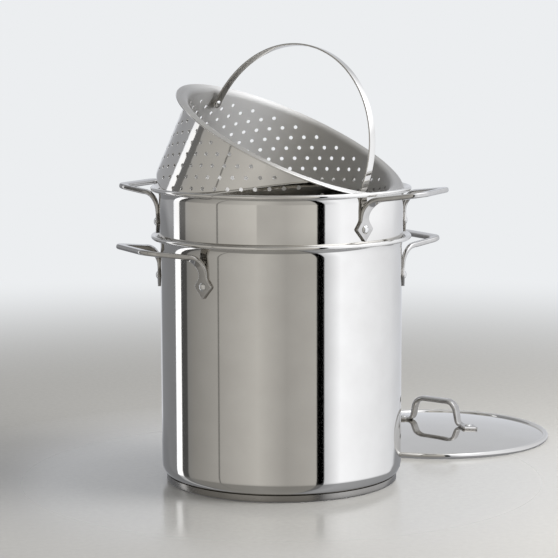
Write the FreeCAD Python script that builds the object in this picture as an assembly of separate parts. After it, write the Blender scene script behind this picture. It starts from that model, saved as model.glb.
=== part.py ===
"""A pasta pot with a strainer insert, a steamer basket with a bail, and a lid.

The pot stands on Z = 0 with its axis on Z, and its two side handles lie along X.
The insert hangs in the flared lip of the pot, turned so that its handles clear those of the pot.
The basket leans across the lip of the insert, and the lid lies on the surface beside the pot.
All sizes are in millimetres and all angles in degrees.
"""
import os
from math import asin, cos, degrees, floor, hypot, radians, sin, sqrt, tan

import FreeCAD
import Part
from FreeCAD import Placement, Rotation, Vector

# Pot: a pressed steel body on a thick bonded base
pot_radius = 121.0
pot_height = 248.0
pot_wall = 1.0
pot_corner = 13.0
pot_floor_rise = 8.5
base_radius = 116.4
base_height = 6.4
base_cap_wall = 0.8

# Lip: the same rolled edge on the pot and on the insert
lip_radius = 130.3
lip_angle = 58.0
bead_radius = 2.2

# Insert: a plain band above the pot's lip, and a strainer inside the pot
band_radius = 122.2
lip_rise = 48.0
insert_wall = 0.9
strainer_radius = 116.0
shoulder_slope = 25.0
shoulder_low_bend = 4.0
shoulder_high_bend = 3.0
insert_corner = 8.0
insert_floor_gap = 45.0
insert_turn = -49.7
insert_hole = 6.0
insert_columns = 30
insert_row_pitch = 22.0
insert_ring_pitch = 30.0

# Basket: a shallow steamer with a flat flange, leaning on the lip of the insert
basket_radius = 110.4
basket_depth = 90.8
basket_wall = 0.9
basket_corner = 8.5
flange_radius = 122.7
flange_bend = 3.0
hem_height = 1.6
hem_width = 2.5
basket_tilt = 26.05
basket_heading = -52.6
basket_hole = 4.0
basket_columns = 56
basket_row_pitch = 12.4
basket_ring_pitch = 20.0

# Bail: a strap bent to a half circle, turning on two shouldered rivets
strap_width = 9.0
strap_thickness = 1.8
pivot_drop = 13.2
pivot_turn = -15.5
pivot_radius = 2.0
pivot_head_radius = 3.6
pivot_head = 1.4
pivot_collar = 2.0
eye_radius = 5.0
bail_lean = -2.6

# Lid: a low dome inside a rolled rim
lid_radius = 125.0
lid_wall = 1.0
lid_rise = 11.5
lid_bead_radius = 2.9
lid_x = 243.2
lid_y = 105.0
lid_turn = -63.2

# Handles: a flat bar bent to a loop, with a lozenge foot under each end
bar_width = 10.0
bar_thickness = 5.0
bar_edge = 1.2
foot_width = 22.0
foot_below = 11.5
foot_above = 15.0
foot_thickness = 3.0
leg_start = 5.2
side_foot_span = 108.0
side_reach = 39.0
side_loop_rise = 27.0
side_loop_lift = 6.0
side_loop_width = 76.0
leg_bend = 18.0
loop_bend = 16.0
pot_rivet_drop = 42.0
insert_rivet_drop = 35.5
lid_foot_span = 86.0
lid_leg_span = 60.0
lid_handle_height = 28.0
lid_leg_lean = 5.0
lid_handle_bend = 9.0
lid_foot_bend = 4.5

# Rivets
rivet_radius = 2.5
rivet_head_radius = 4.2
rivet_head = 2.0
rivet_tail_radius = 4.2
rivet_tail = 1.0

# Clearances
rest_gap = 0.3
base_gap = 0.15
running_gap = 0.05

AXIS_Z = Vector(0, 0, 1)
ORIGIN = Vector(0, 0, 0)


def rounded(points, bends):
    """Edges along a run of points, with an arc of the given radius at each inner point."""
    edges = []
    start = points[0]
    for before, corner, after, bend in zip(points, points[1:], points[2:], bends):
        back = (before - corner).normalize()
        ahead = (after - corner).normalize()
        half = back.getAngle(ahead) / 2
        reach = bend / tan(half)
        middle = corner + (back + ahead).normalize() * (bend / sin(half) - bend)
        entry = corner + back * reach
        leave = corner + ahead * reach
        add_line(edges, start, entry)
        edges.append(Part.Arc(entry, middle, leave).toShape())
        start = leave
    add_line(edges, start, points[-1])
    return edges


def add_line(edges, start, end):
    """Add the straight edge between two points, unless they are the same point."""
    if start.distanceToPoint(end) > 1e-6:
        edges.append(Part.makeLine(start, end))


def beside(points, bends, shift):
    """The run of points moved to its left by shift, with the bends that keep it parallel."""
    lefts = []
    for start, end in zip(points, points[1:]):
        ahead = (end - start).normalize()
        lefts.append(Vector(-ahead.z, 0, ahead.x))
    moved = [points[0] + lefts[0] * shift]
    radii = []
    for corner, bend, before, after in zip(points[1:], bends, lefts, lefts[1:]):
        moved.append(corner + (before + after) * (shift / (1 + before.dot(after))))
        turns_left = before.x * after.z - before.z * after.x > 0
        radii.append(bend - shift if turns_left else bend + shift)
    moved.append(points[-1] + lefts[-1] * shift)
    return moved, radii


def turned(edges):
    """The solid that a closed outline in the XZ plane sweeps round the Z axis."""
    face = Part.Face(Part.Wire(Part.__sortEdges__(edges)))
    return face.revolve(ORIGIN, AXIS_Z, 360)


def pressed(points, bends, wall, edge):
    """A sheet of even wall turned about Z, given its middle line from the axis out, and its edge."""
    inner, inner_bends = beside(points, bends, wall / 2)
    outer, outer_bends = beside(points, bends, -wall / 2)
    edges = rounded(inner, inner_bends) + rounded(outer, outer_bends)
    edges += edge(inner[-1], outer[-1])
    add_line(edges, inner[0], outer[0])
    return turned(edges)


def rolled_edge(inner_end, outer_end):
    """A bead rolled outwards, flush with the inside of the sheet."""
    across = (outer_end - inner_end).normalize()
    ahead = Vector(-across.z, 0, across.x)
    centre = inner_end + across * bead_radius
    under = inner_end + across * (2 * bead_radius)
    roll = Part.Arc(under, centre + ahead * bead_radius, inner_end).toShape()
    return [Part.makeLine(outer_end, under), roll]


def hemmed_edge(inner_end, outer_end):
    """A flat hem folded under the edge of a level flange."""
    top = inner_end + Vector(hem_width, 0, 0)
    low = top - Vector(0, 0, hem_height)
    back = low - Vector(hem_width, 0, 0)
    return [Part.makeLine(inner_end, top), Part.makeLine(top, low), Part.makeLine(low, back),
            Part.makeLine(back, outer_end)]


class Lip:
    """The flared and rolled lip of a wall whose inside radius and top height are given."""

    def __init__(self, inside, top):
        slope = radians(lip_angle)
        self.inside = inside
        self.bend = (lip_radius - bead_radius * (1 + cos(slope)) - inside) / (1 - cos(slope))
        self.base = top - self.bend * sin(slope) - bead_radius * (1 - sin(slope))
        self.bend_radius = inside + self.bend
        self.bead_r = self.bend_radius - (self.bend - bead_radius) * cos(slope)
        self.bead_z = self.base + (self.bend - bead_radius) * sin(slope)

    def middle(self, wall):
        """The last two points of the wall's middle line, and the bend between them."""
        bend = self.bend - wall / 2
        reach = bend * tan(radians(lip_angle) / 2)
        corner = Vector(self.inside + wall / 2, 0, self.base + reach)
        end = corner + Vector(sin(radians(lip_angle)), 0, cos(radians(lip_angle))) * reach
        return corner, end, bend

    def clearance(self, point):
        """How far a point inside or above the lip is from it."""
        r = hypot(point.x, point.y)
        gap = hypot(r - self.bead_r, point.z - self.bead_z) - bead_radius
        if point.z < self.base:
            return min(gap, self.inside - r)
        off_axis = self.bend_radius - r
        if off_axis > 0 and point.z - self.base < off_axis * tan(radians(lip_angle)):
            gap = min(gap, hypot(off_axis, point.z - self.base) - self.bend)
        return gap


def perforated(shell, radius, columns, low, high, pitch, hole):
    """The shell with columns of holes down its wall, every second column moved down by half a pitch."""
    tools = []
    for column in range(columns):
        top = high - pitch / 2 if column % 2 else high
        for row in range(floor((top - low) / pitch) + 1):
            tool = punch(hole, Vector(radius - 3, 0, top - row * pitch), Vector(6, 0, 0))
            tools.append(tool.rotate(ORIGIN, AXIS_Z, 360.0 * column / columns))
    return shell.cut(Part.makeCompound(tools))


def perforated_floor(shell, radius, pitch, hole):
    """The shell with rings of holes through its floor, six more in each ring than in the last."""
    tools = [punch(hole, Vector(0, 0, -3), Vector(0, 0, 6))]
    for ring in range(1, floor(radius / pitch) + 1):
        for step in range(6 * ring):
            tool = punch(hole, Vector(ring * pitch, 0, -3), Vector(0, 0, 6))
            tools.append(tool.rotate(ORIGIN, AXIS_Z, 60.0 * step / ring))
    return shell.cut(Part.makeCompound(tools))


def punch(hole, start, along):
    """A six-sided punch of the given width across corners."""
    corner = Vector(hole / 2, 0, 0)
    corners = [Rotation(AXIS_Z, 60 * k).multVec(corner) for k in range(7)]
    tool = Part.Face(Part.makePolygon(corners)).extrude(Vector(0, 0, along.Length))
    tool.Placement = Placement(start, Rotation(AXIS_Z, along))
    return tool


def loop_bar(points, bends, across):
    """A flat bar with eased edges, swept along a run of points with its width set across the start."""
    path = Part.Wire(rounded(points, bends))
    ahead = (points[1] - points[0]).normalize()
    deep = ahead.cross(across)
    half_width = bar_width / 2
    half_deep = bar_thickness / 2
    corners = []
    for w, d in ((1, 1), (-1, 1), (-1, -1), (1, -1)):
        near = points[0] + across * (w * half_width) + deep * (d * (half_deep - bar_edge))
        far = points[0] + across * (w * (half_width - bar_edge)) + deep * (d * half_deep)
        corners += [near, far] if w * d > 0 else [far, near]
    section = Part.makePolygon(corners + corners[:1])
    return path.makePipeShell([section], True, False)


def lozenge(below, above):
    """The outline of a handle's foot in the YZ plane, round the centre of its rivet."""
    half = foot_width / 2
    corners = [Vector(0, 0, -below), Vector(0, half, 0), Vector(0, 0, above), Vector(0, -half, 0)]
    return Part.Face(Part.makePolygon(corners + corners[:1]))


def side_foot_angle(wall_radius):
    """The angle round the wall from the middle of a side handle to each of its rivets."""
    return degrees(asin(side_foot_span / 2 / wall_radius))


def side_handle(wall_radius):
    """A side handle on a wall of the given outside radius, along +X, with its rivets at Z = 0."""
    foot_y = side_foot_span / 2
    leg_x = sqrt(wall_radius ** 2 - foot_y ** 2) + bar_thickness / 2 + rest_gap
    loop_x = wall_radius + side_reach
    loop_y = side_loop_width / 2
    top = side_loop_rise + side_loop_lift
    points = [Vector(leg_x, -foot_y, leg_start), Vector(leg_x, -foot_y, side_loop_rise),
              Vector(loop_x, -loop_y, top), Vector(loop_x, loop_y, top),
              Vector(leg_x, foot_y, side_loop_rise), Vector(leg_x, foot_y, leg_start)]
    handle = loop_bar(points, [leg_bend, loop_bend, loop_bend, leg_bend], Vector(0, 1, 0))
    height = foot_below + foot_above + 2
    plate = Part.makeCylinder(wall_radius + foot_thickness, height, Vector(0, 0, -foot_below - 1))
    wall = Part.makeCylinder(wall_radius, 2 * pot_height, Vector(0, 0, -pot_height))
    angle = side_foot_angle(wall_radius)
    for side in (-angle, angle):
        foot = lozenge(foot_below, foot_above).extrude(Vector(wall_radius + foot_thickness, 0, 0))
        foot.rotate(ORIGIN, AXIS_Z, side)
        handle = handle.fuse(foot.common(plate))
    handle = handle.cut(wall)
    for side in (-angle, angle):
        handle = handle.cut(shank(wall_radius + 10).rotate(ORIGIN, AXIS_Z, side))
    return handle.removeSplitter()


def shank(length):
    """The straight shank of a rivet along +X."""
    return Part.makeCylinder(rivet_radius, length, ORIGIN, Vector(1, 0, 0))


def domed_head(radius, height):
    """A low domed rivet head on Z = 0."""
    crown = (radius ** 2 + height ** 2) / (2 * height)
    ball = Part.makeSphere(crown, Vector(0, 0, height - crown))
    return ball.common(Part.makeCylinder(radius, height))


def wall_rivet(wall_radius, wall, foot):
    """A rivet along +X through a wall and a handle's foot on it, with a flat tail inside."""
    inside = wall_radius - wall
    end = Vector(inside - rivet_tail, 0, 0)
    body = Part.makeCylinder(rivet_radius, wall + foot + rivet_tail, end, Vector(1, 0, 0))
    tail = Part.makeCylinder(rivet_tail_radius, 2 * rivet_tail, end, Vector(1, 0, 0))
    height = 4 * rivet_tail_radius
    tail = tail.common(Part.makeCylinder(inside, height, Vector(0, 0, -height / 2)))
    head = domed_head(rivet_head_radius, rivet_head)
    head.Placement = Placement(Vector(wall_radius + foot, 0, 0), Rotation(AXIS_Z, Vector(1, 0, 0)))
    return body.fuse([tail, head]).removeSplitter()


def handle_set(wall_radius, wall, height, turn):
    """Two side handles, their rivets and the cutter for the rivet holes, at a height and a turn."""
    angle = side_foot_angle(wall_radius)
    handles = []
    rivets = []
    holes = []
    for side in (180, 0):
        place = Placement(Vector(0, 0, height), Rotation(AXIS_Z, turn + side))
        handle = side_handle(wall_radius)
        handle.Placement = place.multiply(handle.Placement)
        handles.append(handle)
        for foot in (-angle, angle):
            spot = place.multiply(Placement(ORIGIN, Rotation(AXIS_Z, foot)))
            rivet = wall_rivet(wall_radius, wall, foot_thickness)
            rivet.Placement = spot.multiply(rivet.Placement)
            rivets.append(rivet)
            hole = shank(wall_radius + 10)
            hole.Placement = spot.multiply(hole.Placement)
            holes.append(hole)
    return handles, Part.makeCompound(rivets), Part.makeCompound(holes)


def pot_lip():
    """The lip of the pot."""
    return Lip(pot_radius - pot_wall, pot_height)


def insert_lip():
    """The lip of the insert, raised above that of the pot."""
    return Lip(band_radius - insert_wall, pot_height + lip_rise)


def floor_level():
    """The underside of the pot's floor, whose corner bend clears the rim of the base cap by the base gap."""
    reach = base_radius - base_cap_wall - (pot_radius - pot_corner)
    return base_height + base_gap - pot_corner + sqrt(pot_corner ** 2 - reach ** 2)


def pot_body():
    """The pressed body of the pot, from its flat floor to its rolled lip."""
    corner, end, bend = pot_lip().middle(pot_wall)
    level = floor_level() + pot_wall / 2
    points = [Vector(0, 0, level), Vector(corner.x, 0, level), corner, end]
    return pressed(points, [pot_corner - pot_wall / 2, bend], pot_wall, rolled_edge)


def base_core():
    """The aluminium disc of the base, inside its cap."""
    thickness = floor_level() - base_cap_wall
    return Part.makeCylinder(base_radius - base_cap_wall, thickness, Vector(0, 0, base_cap_wall))


def base_cap():
    """The steel cap that holds the disc and stands on the hob."""
    cup = Part.makeCylinder(base_radius, base_height)
    low_edges = [edge for edge in cup.Edges if edge.BoundBox.ZMax < base_cap_wall]
    hollow = Part.makeCylinder(base_radius - base_cap_wall, base_height, Vector(0, 0, base_cap_wall))
    return cup.makeFillet(base_cap_wall, low_edges).cut(hollow)


def insert_body():
    """The insert: strainer, shoulder that seats in the pot's lip, plain band and lip."""
    slope = radians(shoulder_slope)
    seat = pot_lip()
    touch_r = seat.bend_radius - (seat.bend + rest_gap) * cos(slope)
    touch_z = seat.base + (seat.bend + rest_gap) * sin(slope)
    half = insert_wall / 2
    middle_r = touch_r - half * cos(slope)
    middle_z = touch_z + half * sin(slope)
    corner, end, bend = insert_lip().middle(insert_wall)
    low_r = strainer_radius - half
    shoulder_low = Vector(low_r, 0, middle_z - (middle_r - low_r) / tan(slope))
    shoulder_high = Vector(corner.x, 0, middle_z + (corner.x - middle_r) / tan(slope))
    level = insert_level() + half
    points = [Vector(0, 0, level), Vector(low_r, 0, level), shoulder_low, shoulder_high, corner, end]
    bends = [insert_corner - half, shoulder_low_bend, shoulder_high_bend, bend]
    body = pressed(points, bends, insert_wall, rolled_edge)
    first_row = insert_level() + insert_corner + insert_hole
    last_row = shoulder_low.z - 2 * insert_hole
    body = perforated(body, low_r, insert_columns, first_row, last_row, insert_row_pitch, insert_hole)
    body.translate(Vector(0, 0, -insert_level()))
    floor_reach = strainer_radius - insert_corner - insert_hole
    body = perforated_floor(body, floor_reach, insert_ring_pitch, insert_hole)
    body.translate(Vector(0, 0, insert_level()))
    return body


def insert_level():
    """The height of the underside of the insert."""
    return base_height + pot_wall + insert_floor_gap


def basket_body():
    """The basket in its own frame, standing level with the top of its flange at Z = 0.

    Its top row of holes is level with the pivots, and the columns start at one of them.
    """
    half = basket_wall / 2
    wall_r = basket_radius - half
    points = [Vector(0, 0, half - basket_depth), Vector(wall_r, 0, half - basket_depth),
              Vector(wall_r, 0, -half), Vector(flange_radius - hem_width, 0, -half)]
    body = pressed(points, [basket_corner - half, flange_bend + half], basket_wall, hemmed_edge)
    lowest_row = basket_corner + basket_hole - basket_depth
    body = perforated(body, wall_r, basket_columns, lowest_row, -pivot_drop, basket_row_pitch, basket_hole)
    body.rotate(ORIGIN, AXIS_Z, pivot_turn)
    body.translate(Vector(0, 0, basket_depth))
    floor_reach = basket_radius - basket_corner - basket_hole
    body = perforated_floor(body, floor_reach, basket_ring_pitch, basket_hole)
    body.translate(Vector(0, 0, -basket_depth))
    return body


def basket_rest():
    """Where the leaning basket comes to rest, with its flange in the lip and its foot on the other side.

    The basket slides along its heading and up or down until both sides clear the lip by the rest gap.
    """
    lip = insert_lip()
    tilt = Rotation(Vector(0, 1, 0), basket_tilt)
    low_side = [Vector(flange_radius, 0, -hem_height), Vector(flange_radius, 0, 0),
                Vector(basket_radius, 0, -flange_bend)]
    corner = Vector(basket_corner - basket_radius, 0, basket_corner - basket_depth)
    bend = [Rotation(Vector(0, 1, 0), angle) for angle in range(0, 91, 3)]
    high_side = [corner + turn.multVec(Vector(0, 0, -basket_corner)) for turn in bend]
    turns = [Rotation(AXIS_Z, a) for a in range(-84, 85, 2)]
    low_points = [tilt.multVec(t.multVec(p)) for p in low_side for t in turns]
    high_points = [tilt.multVec(t.multVec(p)) for p in high_side for t in turns]
    along = 0.0
    level = pot_height + lip_rise + basket_depth / 2
    for _ in range(60):
        level += rest_gap - min(lip.clearance(p + Vector(along, 0, level)) for p in high_points)
        along += min(lip.clearance(p + Vector(along, 0, level)) for p in low_points) - rest_gap
    place = Placement(ORIGIN, Rotation(AXIS_Z, basket_heading))
    return place.multiply(Placement(Vector(along, 0, level), tilt))


def pivot_frame():
    """The bail's frame in the basket: X along the pivots, Z up the middle of the standing bail."""
    return Placement(Vector(0, 0, -pivot_drop), Rotation(AXIS_Z, pivot_turn))


def bail_span():
    """The distance from the basket's axis to the middle of the strap at each pivot."""
    return basket_radius - basket_wall - pivot_collar - running_gap - strap_thickness / 2


def bail():
    """The bail standing upright on its pivots, in the pivot frame."""
    span = bail_span()
    half = strap_thickness / 2
    edge = Vector(0, -strap_width / 2, 0)
    across = Vector(0, 1, 0)
    outer = Part.makeCylinder(span + half, strap_width, edge, across)
    inner = Part.makeCylinder(span - half, strap_width, edge, across)
    upper = Part.makeBox(4 * span, strap_width, 2 * span, Vector(-2 * span, -strap_width / 2, 0))
    strap = outer.cut(inner).common(upper)
    for side in (-1, 1):
        start = Vector(side * span - half, 0, 0)
        eye = Part.makeCylinder(eye_radius, strap_thickness, start, Vector(1, 0, 0))
        strap = strap.fuse(eye)
    for side in (-1, 1):
        start = Vector(side * span - strap_width, 0, 0)
        hole = Part.makeCylinder(pivot_radius + running_gap, 2 * strap_width, start, Vector(1, 0, 0))
        strap = strap.cut(hole)
    return strap.removeSplitter()


def pivot():
    """A shouldered rivet along +X through the basket's wall, which carries one eye of the bail."""
    inside = basket_radius - basket_wall
    start = Vector(inside - pivot_collar, 0, 0)
    collar = Part.makeCylinder(pivot_head_radius, pivot_collar + basket_wall, start, Vector(1, 0, 0))
    height = 4 * pivot_head_radius
    collar = collar.common(Part.makeCylinder(inside, height, Vector(0, 0, -height / 2)))
    journal = bail_span() - strap_thickness / 2 - running_gap
    pin = Part.makeCylinder(pivot_radius, basket_radius - journal, Vector(journal, 0, 0), Vector(1, 0, 0))
    inner_head = domed_head(pivot_head_radius, pivot_head)
    inner_head.Placement = Placement(Vector(journal, 0, 0), Rotation(AXIS_Z, Vector(-1, 0, 0)))
    outer_head = domed_head(pivot_head_radius, pivot_head)
    outer_head.Placement = Placement(Vector(basket_radius, 0, 0), Rotation(AXIS_Z, Vector(1, 0, 0)))
    return pin.fuse([collar, inner_head, outer_head]).removeSplitter()


def lid_dome_radius():
    """The radius of the sphere of the lid's outside."""
    edge = lid_radius - 2 * lid_bead_radius
    return (edge ** 2 + lid_rise ** 2) / (2 * lid_rise)


def lid_top():
    """The height of the middle of the lid's outside."""
    return lid_bead_radius + lid_wall / 2 + lid_rise


def lid_body():
    """The lid in its own frame: a low dome that runs into a round bead, which it stands on."""
    edge = lid_radius - 2 * lid_bead_radius
    radius = lid_dome_radius()
    centre = Vector(0, 0, lid_top() - radius)
    ball = Part.makeSphere(radius, centre).cut(Part.makeSphere(radius - lid_wall, centre))
    span = 2 * lid_radius
    height = lid_bead_radius - lid_wall / 2
    disc = Part.makeCylinder(edge + lid_bead_radius, span, Vector(0, 0, height))
    ring = Part.makeTorus(lid_radius - lid_bead_radius, lid_bead_radius, Vector(0, 0, lid_bead_radius))
    return ball.common(disc).fuse(ring).removeSplitter()


def lid_handle():
    """The lid's handle in the lid's frame, along X, on the dome."""
    start_x = lid_foot_span / 2 - leg_start
    leg_x = lid_leg_span / 2
    top = lid_top()
    knee = top + bar_thickness / 2
    high = top + lid_handle_height - bar_thickness / 2
    points = [Vector(-start_x, 0, top), Vector(-leg_x, 0, knee),
              Vector(lid_leg_lean - leg_x, 0, high), Vector(leg_x - lid_leg_lean, 0, high),
              Vector(leg_x, 0, knee), Vector(start_x, 0, top)]
    bends = [lid_foot_bend, lid_handle_bend, lid_handle_bend, lid_foot_bend]
    handle = loop_bar(points, bends, Vector(0, 1, 0))
    dome = lid_dome_radius()
    centre = Vector(0, 0, top - dome)
    plate = Part.makeSphere(dome + foot_thickness, centre)
    for side in (-1, 1):
        foot = lozenge(foot_below, foot_above).extrude(Vector(2 * top, 0, 0))
        turn = Rotation(AXIS_Z, Vector(0, side, 0), Vector(-side, 0, 0))
        foot.Placement = Placement(Vector(side * lid_foot_span / 2, 0, 0), turn)
        handle = handle.fuse(foot.common(plate))
    handle = handle.cut(Part.makeSphere(dome, centre))
    for hole in lid_holes():
        handle = handle.cut(hole)
    return handle.removeSplitter()


def lid_rivet_places():
    """Where the lid's rivets stand: on the outside of the dome and square to it."""
    dome = lid_dome_radius()
    places = []
    for side in (-1, 1):
        lean = Rotation(Vector(0, 1, 0), side * degrees(asin(lid_foot_span / 2 / dome)))
        foot = Vector(0, 0, lid_top() - dome) + lean.multVec(Vector(0, 0, dome))
        places.append(Placement(foot, lean))
    return places


def lid_holes():
    """The rivet holes through the lid and its handle."""
    depth = lid_top()
    hole = Part.makeCylinder(rivet_radius, 2 * depth, Vector(0, 0, -depth))
    return [placed(hole, place) for place in lid_rivet_places()]


def lid_rivet_set():
    """The two rivets of the lid's handle, in the lid's frame."""
    dome = lid_dome_radius()
    end = Vector(0, 0, -lid_wall - rivet_tail)
    body = Part.makeCylinder(rivet_radius, rivet_tail + lid_wall + foot_thickness, end)
    head = domed_head(rivet_head_radius, rivet_head)
    head.translate(Vector(0, 0, foot_thickness))
    tail = Part.makeCylinder(rivet_tail_radius, rivet_tail + lid_wall, end)
    tail = tail.common(Part.makeSphere(dome - lid_wall, Vector(0, 0, -dome)))
    rivet = body.fuse([head, tail]).removeSplitter()
    return Part.makeCompound([placed(rivet, place) for place in lid_rivet_places()])


def placed(shape, place):
    """A copy of a shape, moved to a place."""
    copy = shape.copy()
    copy.Placement = place.multiply(copy.Placement)
    return copy


def save(name, shape):
    """Write one piece and say what it is."""
    shape.exportStep("parts/" + name + ".step")
    print(name, len(shape.Solids), "solids", round(shape.Volume / 1000, 2), "cm3", shape.isValid())


def main():
    os.makedirs("parts", exist_ok=True)

    handles, rivets, holes = handle_set(pot_radius, pot_wall, pot_height - pot_rivet_drop, 0)
    body = pot_body().cut(holes)
    floor_zone = Part.makeCylinder(2 * pot_radius, pot_floor_rise)
    save("pot_floor", body.common(floor_zone))
    save("pot_shell", body.cut(floor_zone))
    save("pot_base_core", base_core())
    save("pot_base_cap", base_cap())
    save("pot_handle_left", handles[0])
    save("pot_handle_right", handles[1])
    save("pot_rivets", rivets)

    rivet_height = pot_height + lip_rise - insert_rivet_drop
    handles, rivets, holes = handle_set(band_radius, insert_wall, rivet_height, insert_turn)
    save("insert_shell", insert_body().cut(holes))
    save("insert_handle_left", handles[0])
    save("insert_handle_right", handles[1])
    save("insert_rivets", rivets)

    rest = basket_rest()
    hang = rest.multiply(pivot_frame())
    pins = []
    body = basket_body()
    for side in (0, 180):
        spot = pivot_frame().multiply(Placement(ORIGIN, Rotation(AXIS_Z, side)))
        hole = Part.makeCylinder(pivot_radius, 2 * basket_radius, ORIGIN, Vector(1, 0, 0))
        body = body.cut(placed(hole, spot))
        pins.append(placed(pivot(), spot))
    save("basket_shell", placed(body, rest))
    save("bail_pivots", placed(Part.makeCompound(pins), rest))
    lean = Placement(ORIGIN, Rotation(Vector(1, 0, 0), bail_lean))
    save("bail", placed(bail(), hang.multiply(lean)))

    lid_place = Placement(Vector(lid_x, lid_y, 0), Rotation(AXIS_Z, lid_turn))
    body = lid_body()
    for hole in lid_holes():
        body = body.cut(hole)
    save("lid_shell", placed(body, lid_place))
    save("lid_handle", placed(lid_handle(), lid_place))
    save("lid_rivets", placed(lid_rivet_set(), lid_place))
    print("basket rest", rest)
    print("pivot line through", hang.Base, "along", hang.Rotation.multVec(Vector(1, 0, 0)))


main()
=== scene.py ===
# %% [markdown]
# # A pasta pot with its strainer insert
#
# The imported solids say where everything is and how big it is. This lesson gives them their looks:
# polished and turned stainless steel, round holes, rolled lips and one-piece strap handles.
# Polished metal shows every flat facet, so each visible piece is worked out again as a smooth surface,
# in millimetres, in the same place as its solid, and then takes the place of that solid.

import bpy
import numpy as np
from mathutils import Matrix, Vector
from mathutils.geometry import delaunay_2d_cdt


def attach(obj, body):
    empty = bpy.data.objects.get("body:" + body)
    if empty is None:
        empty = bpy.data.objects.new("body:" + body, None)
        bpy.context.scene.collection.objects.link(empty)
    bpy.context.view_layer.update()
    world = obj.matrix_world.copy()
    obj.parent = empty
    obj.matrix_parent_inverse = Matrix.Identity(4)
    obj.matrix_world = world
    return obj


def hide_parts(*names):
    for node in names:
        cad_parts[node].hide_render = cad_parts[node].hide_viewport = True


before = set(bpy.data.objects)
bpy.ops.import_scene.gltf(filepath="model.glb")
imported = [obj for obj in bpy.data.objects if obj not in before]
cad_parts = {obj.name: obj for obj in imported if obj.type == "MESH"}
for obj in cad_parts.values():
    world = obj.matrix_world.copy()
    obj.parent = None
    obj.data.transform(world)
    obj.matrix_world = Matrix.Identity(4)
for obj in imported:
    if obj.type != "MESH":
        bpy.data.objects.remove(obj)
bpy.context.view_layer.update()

# %% [markdown]
# ## Colours and nodes
#
# Colours are easiest to choose as sRGB hex values, as seen on a screen, but Blender mixes light in
# linear values. One function turns the first into the second. A second one adds a shader node: its
# settings, its socket values and its links in one line, so that a finish reads as a short recipe.


# %% Colour and node helpers
def linear(hex_colour):
    """sRGB to linear: c / 12.92 below 0.04045, otherwise ((c + 0.055) / 1.055) to the power 2.4."""
    c = np.array([int(hex_colour[i:i + 2], 16) for i in (1, 3, 5)]) / 255
    values = np.where(c <= 0.04045, c / 12.92, ((c + 0.055) / 1.055) ** 2.4)
    return (*values.tolist(), 1.0)


def node(tree, kind, inputs=None, **settings):
    """Add a node: settings go to its properties, and inputs are socket values or sockets to link."""
    made = tree.nodes.new("ShaderNode" + kind)
    for key, value in settings.items():
        setattr(made, key, value)
    for key, value in (inputs or {}).items():
        if isinstance(value, bpy.types.NodeSocket):
            tree.links.new(value, made.inputs[key])
        else:
            made.inputs[key].default_value = value
    return made


def empty_material(name):
    """A material with nothing in it but its output; returns the material, its tree and the output."""
    material = bpy.data.materials.new(name)
    material.use_nodes = True
    material.node_tree.nodes.clear()
    return material, material.node_tree, node(material.node_tree, "OutputMaterial")


print("white is", linear("#ffffff")[:3], "and mid grey is", linear("#808080")[:3])

# %% [markdown]
# ## Polished stainless steel
#
# The outsides of the pot and the insert, the lid and the bail are mirror polished with a mop. What tells
# polished steel from chrome is that its mirror is not perfect: fine rings from the polishing mop run
# round the axis, and patches are a little cloudier from washing. The rings follow the outline of the
# piece, so every turned mesh below carries an attribute "along": the distance in millimetres along its
# outline. Noise that is quick along the outline and slow in space gives rings without any seam. A second
# attribute, "polish", says which faces of a satin piece were mirror polished after all; without it, it is 0.
# Brushing draws a reflection out across its lines, so a brushed piece also carries that direction, "grain".


# %% Polished stainless steel
RING_WIDTH = 1.2          # mm, drawn coarser than the real 0.1 mm so that it shows
ROUND_SCALE = 6.0         # per metre, how slowly a ring changes on its way round
SMEAR = 45.0              # mm, the size of the cloudy patches
MIRROR = 0.06             # roughness of a polished face on a satin piece


def steel(name, light, dark, smooth, rough, ring_width, ring_depth, cloud, brushed=0.0):
    """Turned steel: rings drive roughness and bump, clouds the colour, and brushing draws out highlights."""
    material, tree, output = empty_material(name)
    place = node(tree, "TexCoord").outputs["Object"]
    along = node(tree, "Attribute", attribute_name="along").outputs["Fac"]
    turns = node(tree, "Math", {0: along, 1: 1 / ring_width / ROUND_SCALE}, operation="MULTIPLY").outputs[0]
    rings = node(tree, "TexNoise", {"Vector": place, "W": turns, "Scale": ROUND_SCALE, "Detail": 3.0},
                 noise_dimensions="4D").outputs["Fac"]
    clouds = node(tree, "TexNoise", {"Vector": place, "Scale": 1000 / cloud, "Detail": 4.0}).outputs["Fac"]
    colour = node(tree, "Mix", {0: clouds, 6: linear(dark), 7: linear(light)}, data_type="RGBA").outputs[2]
    mixed = node(tree, "Mix", {0: 0.45, 2: rings, 3: clouds}).outputs[0]
    turned_skin = node(tree, "MapRange", {0: mixed, 1: 0.3, 2: 0.7, 3: smooth, 4: rough}).outputs[0]
    polish = node(tree, "Attribute", attribute_name="polish").outputs["Fac"]
    roughness = node(tree, "Mix", {0: polish, 2: turned_skin, 3: MIRROR}).outputs[0]
    depth = node(tree, "MapRange", {0: polish, 3: 0.35, 4: 0.05}).outputs[0]
    bump = node(tree, "Bump", {"Height": rings, "Strength": depth, "Distance": ring_depth / 1000})
    shader = node(tree, "BsdfPrincipled", {"Base Color": colour, "Metallic": 1.0, "Roughness": roughness,
                                           "Normal": bump.outputs[0]})
    if brushed:
        grain = node(tree, "Attribute", attribute_name="grain").outputs["Vector"]
        grain = node(tree, "VectorTransform", {0: grain}, convert_from="OBJECT",
                     convert_to="WORLD").outputs[0]
        lines = node(tree, "MapRange", {0: polish, 3: brushed, 4: 0.0}).outputs[0]
        tree.links.new(grain, shader.inputs["Tangent"])
        tree.links.new(lines, shader.inputs["Anisotropic"])
    tree.links.new(shader.outputs[0], output.inputs[0])
    return material


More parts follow.
